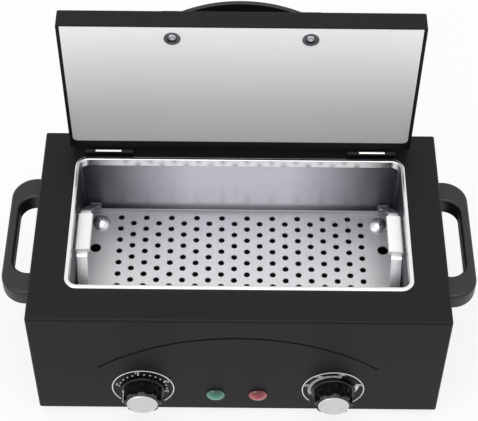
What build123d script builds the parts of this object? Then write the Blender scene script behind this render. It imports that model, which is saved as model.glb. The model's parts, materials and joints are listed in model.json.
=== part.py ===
from build123d import *
from math import acos, cos, degrees, pi, radians, sin, sqrt
import os

# Dry heat sterilizer: a painted steel cabinet with a stainless chamber, a hinged lid that stands
# open, a lift-out perforated tray, two carrying handles and two dials with knobs on the front.
# Millimetres. +X is to the right, +Y to the back, +Z up. The model is drawn with the casing's
# bottom edge at z = 0 and is moved at the end so that the feet stand on z = 0.

# Cabinet
casing_width = 310.0
casing_depth = 182.2
casing_height = 116.8
sheet = 1.0                     # painted steel sheet of the casing, rear panel, base and lid
bend_radius = 2.0
flange_width = 11.0             # in-turned flanges that the rear panel and the base are screwed to
panel_clearance = 0.3           # base plate to the casing walls

# Chamber, rim and insulation
top_land_x = 26.1               # casing's edge to the rim, at the ends
top_land_y = 26.9               # and at the front and back
rim_width = 3.4
rim_proud = 3.0
rim_corner = 10.0
rim_wall = 0.8
rim_lip_drop = 4.0              # how far the lip hangs below the casing's top face
cutout_clearance = 0.4          # lip to the edge of the casing's cut-out
tub_wall = 0.8
tub_set_back = 0.8              # lip to the chamber wall
tub_corner = 3.0
tub_floor_z = 47.0
tub_flange = 8.0
wool_side = 10.0
wool_front = 6.0
wool_back = 12.0
wool_bottom = 12.0
wool_gap = 0.3
works_gap = 3.9                 # timer's works to the insulation behind them

# Tray
tray_top_z = 58.0
tray_gap_x = 4.5                # tray to the chamber's walls
tray_gap_y = 3.0
tray_sheet = 0.8
tray_lip = 3.0
tray_corner = 2.0
hole_radius = 2.5
hole_pitch_x = 20.4
hole_pitch_y = 11.4
hole_margin_x = 20.0            # plain ends of the tray
hole_margin_y = 5.0
hole_offset_x = 1.1             # the pattern isn't quite centred
hole_offset_y = 1.2
ear_width = 8.0
ear_height = 10.0
ear_inset = 1.4                 # ears to the tray's end walls
leg_inset_x = 10.2              # dome nuts and legs, in from the tray's edges
leg_inset_y = 12.9
tray_foot_radius = 4.5
dome_radius = 8.0
dome_height = 5.2
end_hole_radius = 4.3
end_hole_y = 21.0

# Bails and their sleeves
bail_strap = 1.2
bail_below_top = 12.8            # bail's bar below the casing's top
bail_bar_half = 18.0
bail_lean = 3.8                 # degrees, outwards
sleeve_wall = 1.6
sleeve_half = 17.5
rivet_radius = 1.5
rivet_head_radius = 2.3
rivet_head = 0.7

# Heater under the chamber floor
tube_radius = 3.25
tube_end_gap = 34.1             # heater's turns to the chamber's end walls
tube_pitch = 24.0
clamp_x = 52.0
clamp_thick = 1.5
clamp_nut = 2.4
clamp_stud = 3.4                # how far a clamp's stud stands below its bar
heater_gap = 0.05               # heater and bulb to the chamber's floor

# Side handles
grip_reach = 23.6               # how far the handles stand out of the casing
grip_thick = 7.4
grip_half_y = 56.5
gap_half_y = 36.5
grip_below_top = 14.8
grip_height = 15.0

# Lid
lid_over_side = 4.6             # how far the lid reaches past the rim
lid_over_back = 2.6
lid_over_front = 4.5
lid_thick = 15.8
lid_open_angle = 88.1
lid_seat_gap = 0.3              # cup washers to rim when closed
liner_thick = 0.6
liner_border_hinge = 9.0
liner_border_side = 2.8
liner_border_front = 1.4
lid_flange = 13.0

# Hinges
knuckle_radius = 2.5
hinge_clearance = 0.3           # knuckle to the casing's top and to the lid's back
pin_radius = 1.2
pin_fit = 0.05
hinge_inset = 11.5              # lid's end to the hinge
hinge_length = 37.6
knuckle_inset = 8.4             # outer fixed knuckle
knuckle_length = 20.1           # middle knuckle, on the lid
knuckle_end_gap = 0.2
leaf_thick = 1.0
leaf_length = 12.5
leaf_rivet_out = 9.0            # from the pin
leaf_rivet_head = 1.7

# Lid handle
bow_rise = 15.4
bow_radius = 92.0
bow_thick = 3.5
bow_width = 15.0
bow_foot_outer = 58.0
bow_foot_thick = 4.0
handle_screw_x = 50.0
handle_screw_from_front = 12.0
washer_radius = 6.1
washer_depth = 3.0
washer_lip = 0.5                # how far the cup washers stand out of the liner
washer_wall = 0.6

# Controls on the front
dial_x = 72.8
dial_z = 27.6
dial_ring_radius = 23.9
dial_ring_width = 0.8
dial_start = 221.0              # degrees, counter-clockwise from +X seen from the front
dial_sweep = 269.0
dot_count = 13                  # the timer's scale: dots over the upper half
dot_radius = 0.65
dot_start = -0.5
dot_pitch = 14.3
dot_place = 18.4
comb_count = 30                 # the thermostat's scale: a comb of fine lines, then a tapered mark
comb_start = 200.0
comb_end = 74.0
comb_inner = 16.9
comb_outer = 19.5
comb_line = 0.55
taper_start = 20.0
taper_end = -11.0
taper_inner = 17.1
taper_outer = 20.8
ink = 0.12
knob_gap = 1.0                  # knob to the panel
knob_skirt_radius = 16.5
knob_skirt_thick = 2.2
knob_radius = 14.6
knob_proud = 13.4
knob_lobes = 8
knob_scoop = 2.3
cap_radius = 11.75
cap_thick = 2.1
knob_wall = 2.2
shaft_radius = 3.0
shaft_fit = 0.05
bushing_radius = 4.8
bushing_proud = 4.0
timer_rest_angle = 180.0        # where the timer's pointer stands, as dial_start
lamp_x = (-17.2, 15.4)
lamp_z = 20.0
lens_radius = 7.0
lens_proud = 4.2
lamp_barrel_radius = 4.9
hole_fit = 0.2

timer_half = 18.0               # half width of the works behind the panel
timer_depth = 17.0
thermostat_half = 16.0
thermostat_depth = 15.0

# Inside the base
lead_inset = 4.1                # heater's leads and the capillary go down this far inside the chamber's ends
capillary_inset = 13.1
bulb_radius = 2.3
bulb_length = 62.0
bulb_end_x = 44.0
block_from_gland = 18.0
block_from_rear = 39.1
block_half_x = 20.0
block_half_y = 9.0
block_height = 13.0

# Front groove
groove_radius = 160.6
groove_half_x = 105.5
groove_below_top = 21.1
groove_width = 2.2
groove_depth = 0.55

# Rear and base
foot_radius = 8.0
foot_height = 8.0
foot_seat = 3.0                 # rubber under the screw's head
foot_screw_radius = 2.0
foot_inset_x = 19.0             # rubber feet, in from the casing's edges
foot_inset_y = 11.1
gland_inset = 37.0
gland_z = 22.0
gland_hole_radius = 6.3
gland_bore_radius = 3.6
gland_flange_radius = 9.0
vent_width = 3.2
vent_height = 30.0
vent_pitch = 8.0
vent_count = 9
vent_z = 49.0
screw_head_radius = 3.2
screw_head = 2.0
screw_radius = 1.6
screw_length = 6.0

# Places worked out from the sizes above
front_y = -casing_depth / 2
rear_y = casing_depth / 2
inner_top = casing_height - sheet
inner_front = front_y + sheet
flange_back = rear_y - sheet
rim_outer_x = casing_width / 2 - top_land_x
rim_outer_y = casing_depth / 2 - top_land_y
rim_inner_x = rim_outer_x - rim_width
rim_inner_y = rim_outer_y - rim_width
rim_inner_corner = rim_corner - rim_width
rim_top = casing_height + rim_proud
cut_x = rim_inner_x + rim_wall + cutout_clearance
cut_y = rim_inner_y + rim_wall + cutout_clearance
tub_x = rim_inner_x + rim_wall + tub_set_back
tub_y = rim_inner_y + rim_wall + tub_set_back
tub_under = tub_floor_z - tub_wall
tray_half_x = tub_x - tray_gap_x
tray_half_y = tub_y - tray_gap_y
tray_under = tray_top_z - tray_sheet
leg_x = tray_half_x - leg_inset_x
leg_y = tray_half_y - leg_inset_y
ear_inner_x = tray_half_x - tray_sheet - ear_inset - ear_width
bail_top_z = casing_height - bail_below_top
grip_outer_x = casing_width / 2 + grip_reach
grip_top_z = casing_height - grip_below_top
groove_top_z = casing_height - groove_below_top
foot_x = casing_width / 2 - foot_inset_x
foot_y = casing_depth / 2 - foot_inset_y
gland_x = gland_inset - casing_width / 2
block_x = gland_x + block_from_gland
block_y = rear_y - block_from_rear
tube_run = tub_x - tube_end_gap
lead_x = lead_inset - tub_x
capillary_x = tub_x - capillary_inset
tube_z = tub_under - tube_radius - heater_gap
clamp_top = tube_z - tube_radius
wool_floor_top = clamp_top - clamp_thick - clamp_stud - 0.6
pin_z = casing_height + hinge_clearance + knuckle_radius
liner_face = rim_top + lid_seat_gap + washer_lip
lid_edge = liner_face + liner_thick
lid_top = lid_edge + lid_thick
lid_half = rim_outer_x + lid_over_side
lid_back = rim_outer_y + lid_over_back
lid_front = -rim_outer_y - lid_over_front
hinge_outer_x = lid_half - hinge_inset
hinge_inner_x = hinge_outer_x - hinge_length
knuckle_outer_x = hinge_outer_x - knuckle_inset
knuckle_inner_x = knuckle_outer_x - knuckle_length
pin_y = lid_back + hinge_clearance + knuckle_radius
handle_screw_y = lid_front + handle_screw_from_front


def block(x0, x1, y0, y1, z0, z1):
    return Pos((x0 + x1) / 2, (y0 + y1) / 2, (z0 + z1) / 2) * Box(x1 - x0, y1 - y0, z1 - z0)


def post(radius, x, y, z0, z1):
    return Pos(x, y, (z0 + z1) / 2) * Cylinder(radius, z1 - z0)


def rod_y(radius, x, z, y0, y1):
    return Pos(x, (y0 + y1) / 2, z) * Rot(90, 0, 0) * Cylinder(radius, y1 - y0)


def rod_x(radius, y, z, x0, x1):
    return Pos((x0 + x1) / 2, y, z) * Rot(0, 90, 0) * Cylinder(radius, x1 - x0)


def rounded_slab(half_x, half_y, corner, z0, z1):
    return Pos(0, 0, z0) * extrude(RectangleRounded(2 * half_x, 2 * half_y, corner), z1 - z0)


def turned(points, axis=Axis.Z):
    """A solid of revolution from a closed outline of (radius, height) points."""
    return revolve(make_face(Polyline(*[(r, 0, h) for r, h in points], close=True)), axis)


def pan_screw(head_radius, head, shank_radius, length):
    """Head up, underside of the head at z = 0, shank down."""
    screw = Pos(0, 0, head / 2) * Cylinder(head_radius, head)
    screw = fillet(screw.edges().sort_by(Axis.Z)[-1], head * 0.45)
    slot = Pos(0, 0, head) * Box(head_radius * 1.1, head * 0.35, head * 0.8)
    slot += Pos(0, 0, head) * Box(head_radius * 0.35, head_radius * 1.1, head * 0.8)
    return screw - slot + Pos(0, 0, -length / 2) * Cylinder(shank_radius, length)


def group(solids):
    return Compound(children=list(solids))


# Cabinet

def make_casing():
    outside = block(-casing_width / 2, casing_width / 2, front_y, flange_back, 0, casing_height)
    bends = outside.edges().filter_by(Axis.Z).group_by(Axis.Y)[0]
    bends += outside.edges().filter_by(Axis.Y).group_by(Axis.Z)[-1]
    bends += outside.edges().filter_by(Axis.X).group_by(Axis.Z)[-1].sort_by(Axis.Y)[:1]
    outside = fillet(bends, bend_radius)
    inner_x = casing_width / 2 - sheet
    inside = block(-inner_x, inner_x, inner_front, rear_y, -sheet, inner_top)
    bends = inside.edges().filter_by(Axis.Z).group_by(Axis.Y)[0]
    bends += inside.edges().filter_by(Axis.Y).group_by(Axis.Z)[-1]
    bends += inside.edges().filter_by(Axis.X).group_by(Axis.Z)[-1].sort_by(Axis.Y)[:1]
    casing = outside - fillet(bends, bend_radius - sheet)
    flange_y0 = flange_back - sheet
    reach = inner_x - flange_width
    casing += block(-inner_x, inner_x, flange_y0, flange_back, inner_top - flange_width, inner_top)
    for side in (-1, 1):
        near, far = sorted((side * reach, side * inner_x))
        casing += block(near, far, flange_y0, flange_back, sheet, inner_top)
        casing += block(near, far, inner_front, flange_back, sheet, 2 * sheet)
    casing += block(-inner_x, inner_x, inner_front, inner_front + flange_width, sheet, 2 * sheet)
    casing -= rounded_slab(cut_x, cut_y, rim_inner_corner + rim_wall, inner_top - 1, casing_height + 1)
    for x, z, radius in panel_holes():
        casing -= rod_y(radius, x, z, front_y - 1, inner_front + 1)
    for x, z in rear_screw_places():
        casing -= rod_y(screw_radius + hole_fit, x, z, flange_y0 - 1, flange_back + 1)
    for x, y in base_screw_places():
        casing -= post(screw_radius + hole_fit, x, y, 0, 3 * sheet)
    for x, y in foot_places():
        casing -= post(foot_screw_radius + hole_fit, x, y, 0, 3 * sheet)
    for side in (-1, 1):
        for y in handle_screw_rows():
            casing -= rod_x(2.2, y, grip_mid_z(), side * casing_width / 2 - 3, side * casing_width / 2 + 3)
        for x in leaf_rivet_columns():
            casing -= post(rivet_radius + hole_fit, side * x, pin_y + leaf_rivet_out,
                           inner_top - 1, casing_height + 1)
    return casing - front_groove()


def panel_holes():
    places = [(side * dial_x, dial_z, bushing_radius + hole_fit) for side in (-1, 1)]
    return places + [(x, lamp_z, lamp_barrel_radius + hole_fit) for x in lamp_x]


def front_groove():
    """The long shallow arc pressed into the front above the controls."""
    centre_z = groove_top_z - groove_radius
    half_angle = degrees(acos(groove_half_x / groove_radius))
    with BuildSketch(Plane.XZ.offset(-front_y - groove_depth)) as sketch:
        with BuildLine():
            CenterArc((0, centre_z), groove_radius, half_angle, 180 - 2 * half_angle)
        make_face(trace(line_width=groove_width).edges())
    return extrude(sketch.sketch, 2 * groove_depth + 0.4)


def grip_mid_z():
    return grip_top_z - grip_height / 2


def handle_screw_rows():
    arm_mid = (grip_half_y + gap_half_y) / 2
    return (-arm_mid, arm_mid)


def rear_screw_places():
    x = casing_width / 2 - sheet - flange_width / 2
    high = casing_height - sheet - flange_width / 2
    low = 4 * sheet + flange_width / 2
    return [(-x, low), (x, low), (-x, high), (0, high), (x, high)]


def base_screw_places():
    x = casing_width / 2 - sheet - flange_width / 2
    front = inner_front + flange_width / 2
    return [(-x, 0), (x, 0), (-x / 2, front), (x / 2, front)]


def make_rear_panel():
    panel = block(-casing_width / 2, casing_width / 2, flange_back, rear_y, 0, casing_height)
    panel = fillet(panel.edges().filter_by(Axis.Y).group_by(Axis.Z)[-1], bend_radius)
    for i in range(vent_count):
        x = (i - (vent_count - 1) / 2) * vent_pitch
        slot = Pos(x, rear_y, vent_z) * Rot(90, 0, 0) * Rot(0, 0, 90) * SlotOverall(vent_height, vent_width)
        panel -= extrude(slot, 3 * sheet, both=True)
    panel -= rod_y(gland_hole_radius, gland_x, gland_z, flange_back - 1, rear_y + 1)
    for x, z in rear_screw_places():
        panel -= rod_y(screw_radius + hole_fit, x, z, flange_back - 1, rear_y + 1)
    return panel


def make_base():
    half_x = casing_width / 2 - sheet - panel_clearance
    base = block(-half_x, half_x, inner_front + panel_clearance, flange_back, 0, sheet)
    inset = casing_width / 2 - sheet - flange_width - panel_clearance
    for side in (-1, 1):
        near, far = sorted((side * (inset - sheet), side * inset))
        base += block(near, far, inner_front + flange_width + 1, flange_back - sheet - 1, sheet, 9 * sheet)
    for x, y in base_screw_places():
        base -= post(screw_radius + hole_fit, x, y, -1, 2 * sheet)
    for x, y in foot_places():
        base -= post(foot_screw_radius + hole_fit, x, y, -1, 2 * sheet)
    for side in (-1, 1):
        for i in range(vent_count - 2):
            y = (i - (vent_count - 3) / 2) * vent_pitch
            slot = Pos(side * casing_width / 5, y, 0) * SlotOverall(vent_height, vent_width)
            base -= extrude(slot, 3 * sheet, both=True)
    return base


def make_foot():
    """A tapered rubber foot with a recess for its screw, top face at z = 0."""
    recess = screw_head_radius + 0.6
    bore = foot_screw_radius + hole_fit
    low = -foot_height
    return turned([(bore, 0), (foot_radius, 0), (foot_radius - 1.2, low + 1.0), (foot_radius - 2.2, low),
                   (recess, low), (recess, -foot_seat), (bore, -foot_seat)])


def foot_places():
    return [(x, y) for x in (-foot_x, foot_x) for y in (-foot_y, foot_y)]


def make_side_handle():
    """The right-hand carrying handle: a D loop seen from above, with a rounded grip."""
    wall_x = casing_width / 2
    bar_x = grip_outer_x - grip_thick
    shape = Polyline((wall_x, -grip_half_y), (grip_outer_x, -grip_half_y), (grip_outer_x, grip_half_y),
                     (wall_x, grip_half_y), close=True)
    loop = make_face(shape)
    loop = fillet(loop.vertices().group_by(Axis.X)[-1], 19)
    gap = make_face(Polyline((wall_x - 5, -gap_half_y), (bar_x, -gap_half_y), (bar_x, gap_half_y),
                             (wall_x - 5, gap_half_y), close=True))
    gap = fillet(gap.vertices().group_by(Axis.X)[-1], 12)
    body = Pos(0, 0, grip_top_z - grip_height) * extrude(loop - gap, grip_height)
    soft = [e for e in body.edges().filter_by(GeomType.LINE).filter_by(Axis.Y)]
    soft += [e for e in body.edges() if e.geom_type == GeomType.CIRCLE]
    soft += [e for e in body.edges().filter_by(GeomType.LINE).filter_by(Axis.X)]
    soft = [e for e in soft if e.center().X > wall_x + 0.5]
    body = fillet(soft, 2.4)
    for y in handle_screw_rows():
        body -= rod_x(1.6, y, grip_mid_z(), wall_x - 1, wall_x + 13)
    return body


def handle_screws():
    screws = []
    inner = casing_width / 2 - sheet
    for side in (-1, 1):
        for y in handle_screw_rows():
            screw = pan_screw(4.0, 2.4, 1.5, sheet + 11)
            screws.append(Pos(side * inner, y, grip_mid_z()) * Rot(0, -90 * side, 0) * screw)
    return screws


# Chamber

def make_tub():
    tub = rounded_slab(tub_x + tub_wall, tub_y + tub_wall, tub_corner + tub_wall, tub_under, inner_top)
    tub += rounded_slab(tub_x + tub_flange, tub_y + tub_flange, tub_corner + tub_flange,
                        inner_top - tub_wall, inner_top)
    hollow = rounded_slab(tub_x, tub_y, tub_corner, tub_floor_z, inner_top + 1)
    hollow = fillet(hollow.faces().sort_by(Axis.Z)[0].edges(), 1.6)
    return tub - hollow


def make_rim():
    """A rolled U-section trim: bead on the casing, lip hanging inside the opening."""
    inner_r = rim_inner_corner
    bead = rounded_slab(rim_outer_x, rim_outer_y, rim_corner, casing_height, rim_top)
    bead = fillet(bead.faces().sort_by(Axis.Z)[-1].edges(), 1.3)
    hole = rounded_slab(rim_inner_x, rim_inner_y, inner_r, casing_height - rim_lip_drop - 1, rim_top + 1)
    lip = rounded_slab(rim_inner_x + rim_wall, rim_inner_y + rim_wall, inner_r + rim_wall,
                       casing_height - rim_lip_drop, rim_top - rim_wall)
    channel = rounded_slab(rim_outer_x - rim_wall, rim_outer_y - rim_wall, rim_corner - rim_wall,
                           casing_height - 1, rim_top - rim_wall)
    rim = (bead - channel) + lip - hole
    return fillet(rim.faces().sort_by(Axis.Z)[-1].inner_wires()[0].edges(), 0.7)


def make_wool():
    side = tub_x + tub_wall + wool_side
    front = -(tub_y + tub_wall + wool_front)
    back = tub_y + tub_wall + wool_back
    top = inner_top - tub_wall - wool_gap
    low_front = inner_front + timer_depth + works_gap
    wool = block(-side, side, front, back, tub_under, top)
    wool += block(-side, side, low_front, back, wool_floor_top - wool_bottom, tub_under)
    room_x = tub_x + tub_wall + wool_gap
    room_y = tub_y + tub_wall + wool_gap
    wool -= block(-room_x, room_x, -room_y, room_y, wool_floor_top, top + 1)
    for x, y in wool_holes():
        wool -= post(5.0, x, y, wool_floor_top - wool_bottom - 1, wool_floor_top + 1)
    return wool


def wool_holes():
    """Where the heater's leads and the thermostat's capillary go down."""
    return [(lead_x, 1.5 * tube_pitch), (lead_x, -1.5 * tube_pitch), (capillary_x, tube_pitch)]


def make_heater():
    """A sheathed tube in four runs under the chamber floor, with a terminal at each end."""
    with BuildLine() as path:
        line = Line((-tube_run - 12, -1.5 * tube_pitch, tube_z), (tube_run, -1.5 * tube_pitch, tube_z))
        heading = 1
        for i in range(3):
            turn = JernArc(line @ 1, line % 1, tube_pitch / 2, 180 * heading)
            heading = -heading
            reach = tube_run * heading if i < 2 else -tube_run - 12
            line = Line(turn @ 1, (reach, (turn @ 1).Y, tube_z))
    tube = sweep(Plane(path.line @ 0, z_dir=path.line % 0) * Circle(tube_radius), path.line)
    for side in (-1, 1):
        y = side * 1.5 * tube_pitch
        tube += rod_x(1.6, y, tube_z, -tube_run - 24, -tube_run - 12)
    return tube


def heater_clamps():
    solids = []
    half = 2 * tube_pitch
    for x in (-clamp_x, clamp_x):
        bar = block(x - 6, x + 6, -half, half, clamp_top - clamp_thick, clamp_top)
        for y in (-half + 5, half - 5):
            bar -= post(2.1, x, y, clamp_top - 5, clamp_top + 5)
            stud = post(2.0, x, y, clamp_top - clamp_thick - clamp_stud, tub_under)
            nut = Pos(x, y, clamp_top - clamp_thick - clamp_nut) * extrude(RegularPolygon(3.6, 6), clamp_nut)
            solids.append(stud + nut)
        solids.append(bar)
    return solids


def wire(radius, bend, points):
    path = FilletPolyline(*points, radius=bend)
    return sweep(Plane(path @ 0, z_dir=path % 0) * Circle(radius), path)


def make_capillary():
    """The thermostat's bulb between two heater runs, and its fine tube down to the works."""
    z = tub_under - bulb_radius - 0.05
    bulb = rod_x(bulb_radius, tube_pitch, z, bulb_end_x - bulb_length, bulb_end_x)
    low = wool_floor_top - wool_bottom - 8
    entry = (dial_x + 8, front_y + sheet + thermostat_depth, dial_z - 8)
    under = clamp_top - 1.8
    tube = wire(0.9, 5.0, [(bulb_end_x, tube_pitch, z), (bulb_end_x + 16, tube_pitch, z),
                           (bulb_end_x + 30, tube_pitch, under), (capillary_x, tube_pitch, under),
                           (capillary_x, tube_pitch, low), (capillary_x, -tube_pitch * 2, low),
                           (entry[0], entry[1] + 16, entry[2]), entry])
    return bulb + tube


def make_wiring():
    """Leads in the space under the insulation: heater, timer, thermostat and terminal block."""
    bore_z = sheet + 5.5
    front_of_block = block_y - block_half_y
    timer_back = front_y + sheet + timer_depth
    thermostat_back = front_y + sheet + thermostat_depth
    end = -tube_run - 24
    run = 1.5 * tube_pitch
    near = timer_back + 14
    leads = [
        [(end, run, tube_z), (lead_x, run, tube_z), (lead_x, run, 18), (lead_x, run - 12, bore_z),
         (block_x - 15, run - 12, bore_z), (block_x - 15, front_of_block, bore_z)],
        [(end, -run, tube_z), (lead_x, -run, tube_z), (lead_x, -run, 15), (-dial_x - 11, near, 15),
         (-dial_x - 11, timer_back, 15)],
        [(-dial_x + 11, timer_back, 15), (-dial_x + 11, near, 15), (dial_x - 7, near, 15),
         (dial_x - 7, thermostat_back, 15)],
        [(dial_x + 1, thermostat_back, 15), (dial_x + 1, near + 8, 15), (-40, -10, bore_z),
         (block_x + 15, 12, bore_z), (block_x + 15, front_of_block, bore_z)],
    ]
    return [wire(1.2, 3.4, points) for points in leads]


def make_cutout():
    """A snap-action thermal cut-out pressed against the chamber floor."""
    body = post(7.0, 0, 0, tub_under - 6.2, tub_under)
    body += block(-11.5, 11.5, -4, 4, tub_under - 1.0, tub_under)
    for side in (-1, 1):
        body += block(side * 3.5 - 0.4, side * 3.5 + 0.4, -3.1, 3.1, tub_under - 9.5, tub_under - 6)
    return body


# Tray

def make_tray():
    tray = rounded_slab(tray_half_x, tray_half_y, tray_corner, tray_under, tray_top_z + tray_lip)
    inner_x = tray_half_x - tray_sheet
    inner_y = tray_half_y - tray_sheet
    tray -= rounded_slab(inner_x, inner_y, tray_corner - tray_sheet, tray_top_z, tray_top_z + tray_lip + 1)
    for sx in (-1, 1):
        for sy in (-1, 1):
            near, far = sorted((sx * ear_inner_x, sx * (ear_inner_x + ear_width)))
            low, high = sorted((sy * inner_y, sy * tray_half_y))
            tray += block(near, far, low, high, tray_under, tray_top_z + ear_height)
    tools = [Pos(x, y, 0) * perforation() for x, y in perforation_places()]
    tools += [post(1.7, x, y, tray_under - 1, tray_top_z + 1) for x, y in tray_foot_places()]
    tools += [post(end_hole_radius, sx * (leg_x + 2.4), sy * end_hole_y, tray_under - 1, tray_top_z + 1)
              for sx in (-1, 1) for sy in (-1, 1)]
    for x, y in bail_rivet_places():
        low, high = sorted((y * 0.9, y * 1.2))
        tools.append(rod_y(rivet_radius, x, ear_rivet_z(), low, high))
    return tray - tools


def perforation():
    return Pos(0, 0, tray_under - 0.5) * extrude(RegularPolygon(hole_radius * 1.04, 8), tray_sheet + 1)


def perforation_places():
    """Rows half a pitch apart, every other one moved sideways by half a pitch."""
    places = []
    reach_x = tray_half_x - hole_margin_x
    reach_y = tray_half_y - hole_margin_y
    columns = int(2 * reach_x / hole_pitch_x)
    rows = int(2 * reach_y / hole_pitch_y)
    for row in range(-rows, rows + 1):
        y = row * hole_pitch_y / 2 + hole_offset_y
        shift = -0.25 if row % 2 else 0.25
        for column in range(columns):
            x = (column - (columns - 1) / 2 + shift) * hole_pitch_x + hole_offset_x
            if abs(y) < reach_y:
                places.append((x, y))
    return places


def tray_foot_places():
    return [(x, y) for x in (-leg_x, leg_x) for y in (-leg_y, leg_y)]


def ear_rivet_z():
    return tray_top_z + ear_height * 0.58


def bail_rivet_places():
    x = ear_inner_x + ear_width / 2
    y = tray_half_y
    return [(sx * x, sy * y) for sx in (-1, 1) for sy in (-1, 1)]


def make_tray_leg():
    leg = post(tray_foot_radius, 0, 0, tub_floor_z, tray_under)
    return leg - post(1.7, 0, 0, tub_floor_z + 2, tray_under + 1)


def make_dome():
    """A domed cap nut with its stud, seated on the tray floor at z = 0."""
    sphere_radius = (dome_radius ** 2 + (dome_height - 0.8) ** 2) / (2 * (dome_height - 0.8))
    cap = Pos(0, 0, dome_height - sphere_radius) * Sphere(sphere_radius)
    cap &= Pos(0, 0, sphere_radius + 0.8) * Box(3 * dome_radius, 3 * dome_radius, 2 * sphere_radius)
    cap += Pos(0, 0, 0.4) * Cylinder(dome_radius, 0.8)
    return cap + Pos(0, 0, -4) * Cylinder(1.6, 8)


def bail_path():
    """The strap's centre line in the YZ plane, from one tray ear over the bar to the other."""
    y = tray_half_y - tray_sheet - bail_strap / 2
    low = tray_top_z + 1.0
    knee = tray_top_z + ear_height
    points = [(y, low), (y, knee), (bail_bar_half + 4, bail_top_z), (-bail_bar_half - 4, bail_top_z),
              (-y, knee), (-y, low)]
    return points


def make_bail():
    """The right-hand bail: one flat strap bent into a trapezoid and leaned outwards."""
    with BuildSketch(Plane.YZ) as sketch:
        with BuildLine():
            FilletPolyline(*bail_path(), radius=3.2)
        make_face(trace(line_width=bail_strap).edges())
    strap = Pos(ear_inner_x, 0, 0) * extrude(sketch.sketch, ear_width)
    for _, y in bail_rivet_places()[2:]:
        low, high = sorted((y * 0.9, y * 1.2))
        strap -= rod_y(rivet_radius, ear_inner_x + ear_width / 2, ear_rivet_z(), low, high)
    return lean(strap)


def lean(shape):
    """Turns what stands on the right-hand end of the tray outwards, about the foot of the bail."""
    x = ear_inner_x + ear_width / 2
    z = ear_rivet_z()
    return Pos(x, 0, z) * Rot(0, bail_lean, 0) * Pos(-x, 0, -z) * shape


def make_sleeve():
    """A silicone sleeve round the bail's bar."""
    x = ear_inner_x + ear_width / 2
    half_w = ear_width / 2 + sleeve_wall
    half_t = bail_strap / 2 + sleeve_wall
    outer = block(x - half_w, x + half_w, -sleeve_half, sleeve_half, bail_top_z - half_t, bail_top_z + half_t)
    outer = fillet(outer.edges().filter_by(Axis.Y), sleeve_wall)
    slot_w = ear_width / 2 + 0.05
    slot_t = bail_strap / 2 + 0.05
    outer -= block(x - slot_w, x + slot_w, -sleeve_half - 1, sleeve_half + 1,
                   bail_top_z - slot_t, bail_top_z + slot_t)
    return lean(outer)


def make_bail_rivets():
    rivets = []
    for x, y in bail_rivet_places():
        side = 1 if y > 0 else -1
        inner = tray_half_y - tray_sheet - bail_strap
        outer = tray_half_y
        low, high = sorted((side * (inner - rivet_head), side * (outer + rivet_head)))
        rivet = rod_y(rivet_radius, x, ear_rivet_z(), low, high)
        low, high = sorted((side * outer, side * (outer + rivet_head)))
        rivet += rod_y(rivet_head_radius, x, ear_rivet_z(), low, high)
        low, high = sorted((side * (inner - rivet_head), side * inner))
        rivet += rod_y(rivet_head_radius, x, ear_rivet_z(), low, high)
        rivets.append(rivet)
    return rivets


# Lid, drawn closed and turned open at the end

def opened(shape):
    return Pos(0, pin_y, pin_z) * Rot(-lid_open_angle, 0, 0) * Pos(0, -pin_y, -pin_z) * shape


def make_lid_shell():
    half = lid_half
    shell = block(-half, half, lid_front, lid_back, lid_edge, lid_top)
    outer = shell.edges().filter_by(Axis.Z) + shell.edges().group_by(Axis.Z)[-1]
    shell = fillet(outer, 1.4)
    room = block(-half + sheet, half - sheet, lid_front + sheet, lid_back - sheet,
                 lid_edge + sheet, lid_top - sheet)
    mouth = block(-half + lid_flange, half - lid_flange, lid_front + lid_flange,
                  lid_back - lid_flange, lid_edge - 1, lid_edge + 2 * sheet)
    shell = shell - room - mouth
    for side in (-1, 1):
        shell -= post(2.2, side * handle_screw_x, handle_screw_y, lid_top - 3, lid_top + 1)
        shell -= post(washer_radius - 0.8, side * handle_screw_x, handle_screw_y, lid_edge - 1, lid_edge + 2)
        for x in leaf_rivet_columns():
            shell -= rod_y(rivet_radius + hole_fit, side * x, pin_z + leaf_rivet_out,
                           lid_back - 2 * sheet, lid_back + 1)
    return shell


def make_liner():
    half = lid_half - liner_border_side
    liner = block(-half, half, lid_front + liner_border_front, lid_back - liner_border_hinge,
                  liner_face, lid_edge)
    corners = liner.edges().filter_by(Axis.Z).group_by(Axis.Y)
    liner = fillet(corners[-1], 4.0)
    for side in (-1, 1):
        liner -= post(washer_radius - 1.0, side * handle_screw_x, handle_screw_y, liner_face - 1, lid_edge + 1)
    return liner


def make_lid_wool():
    gap = sheet + wool_gap
    half = lid_half - gap
    wool = block(-half, half, lid_front + gap, lid_back - gap, lid_edge + gap, lid_top - gap)
    for side in (-1, 1):
        wool -= post(washer_radius, side * handle_screw_x, handle_screw_y, lid_edge, lid_top)
        for x in leaf_rivet_columns():
            wool -= rod_y(rivet_head_radius + 0.4, side * x, pin_z + leaf_rivet_out, lid_back - 5, lid_back)
    return wool


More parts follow.
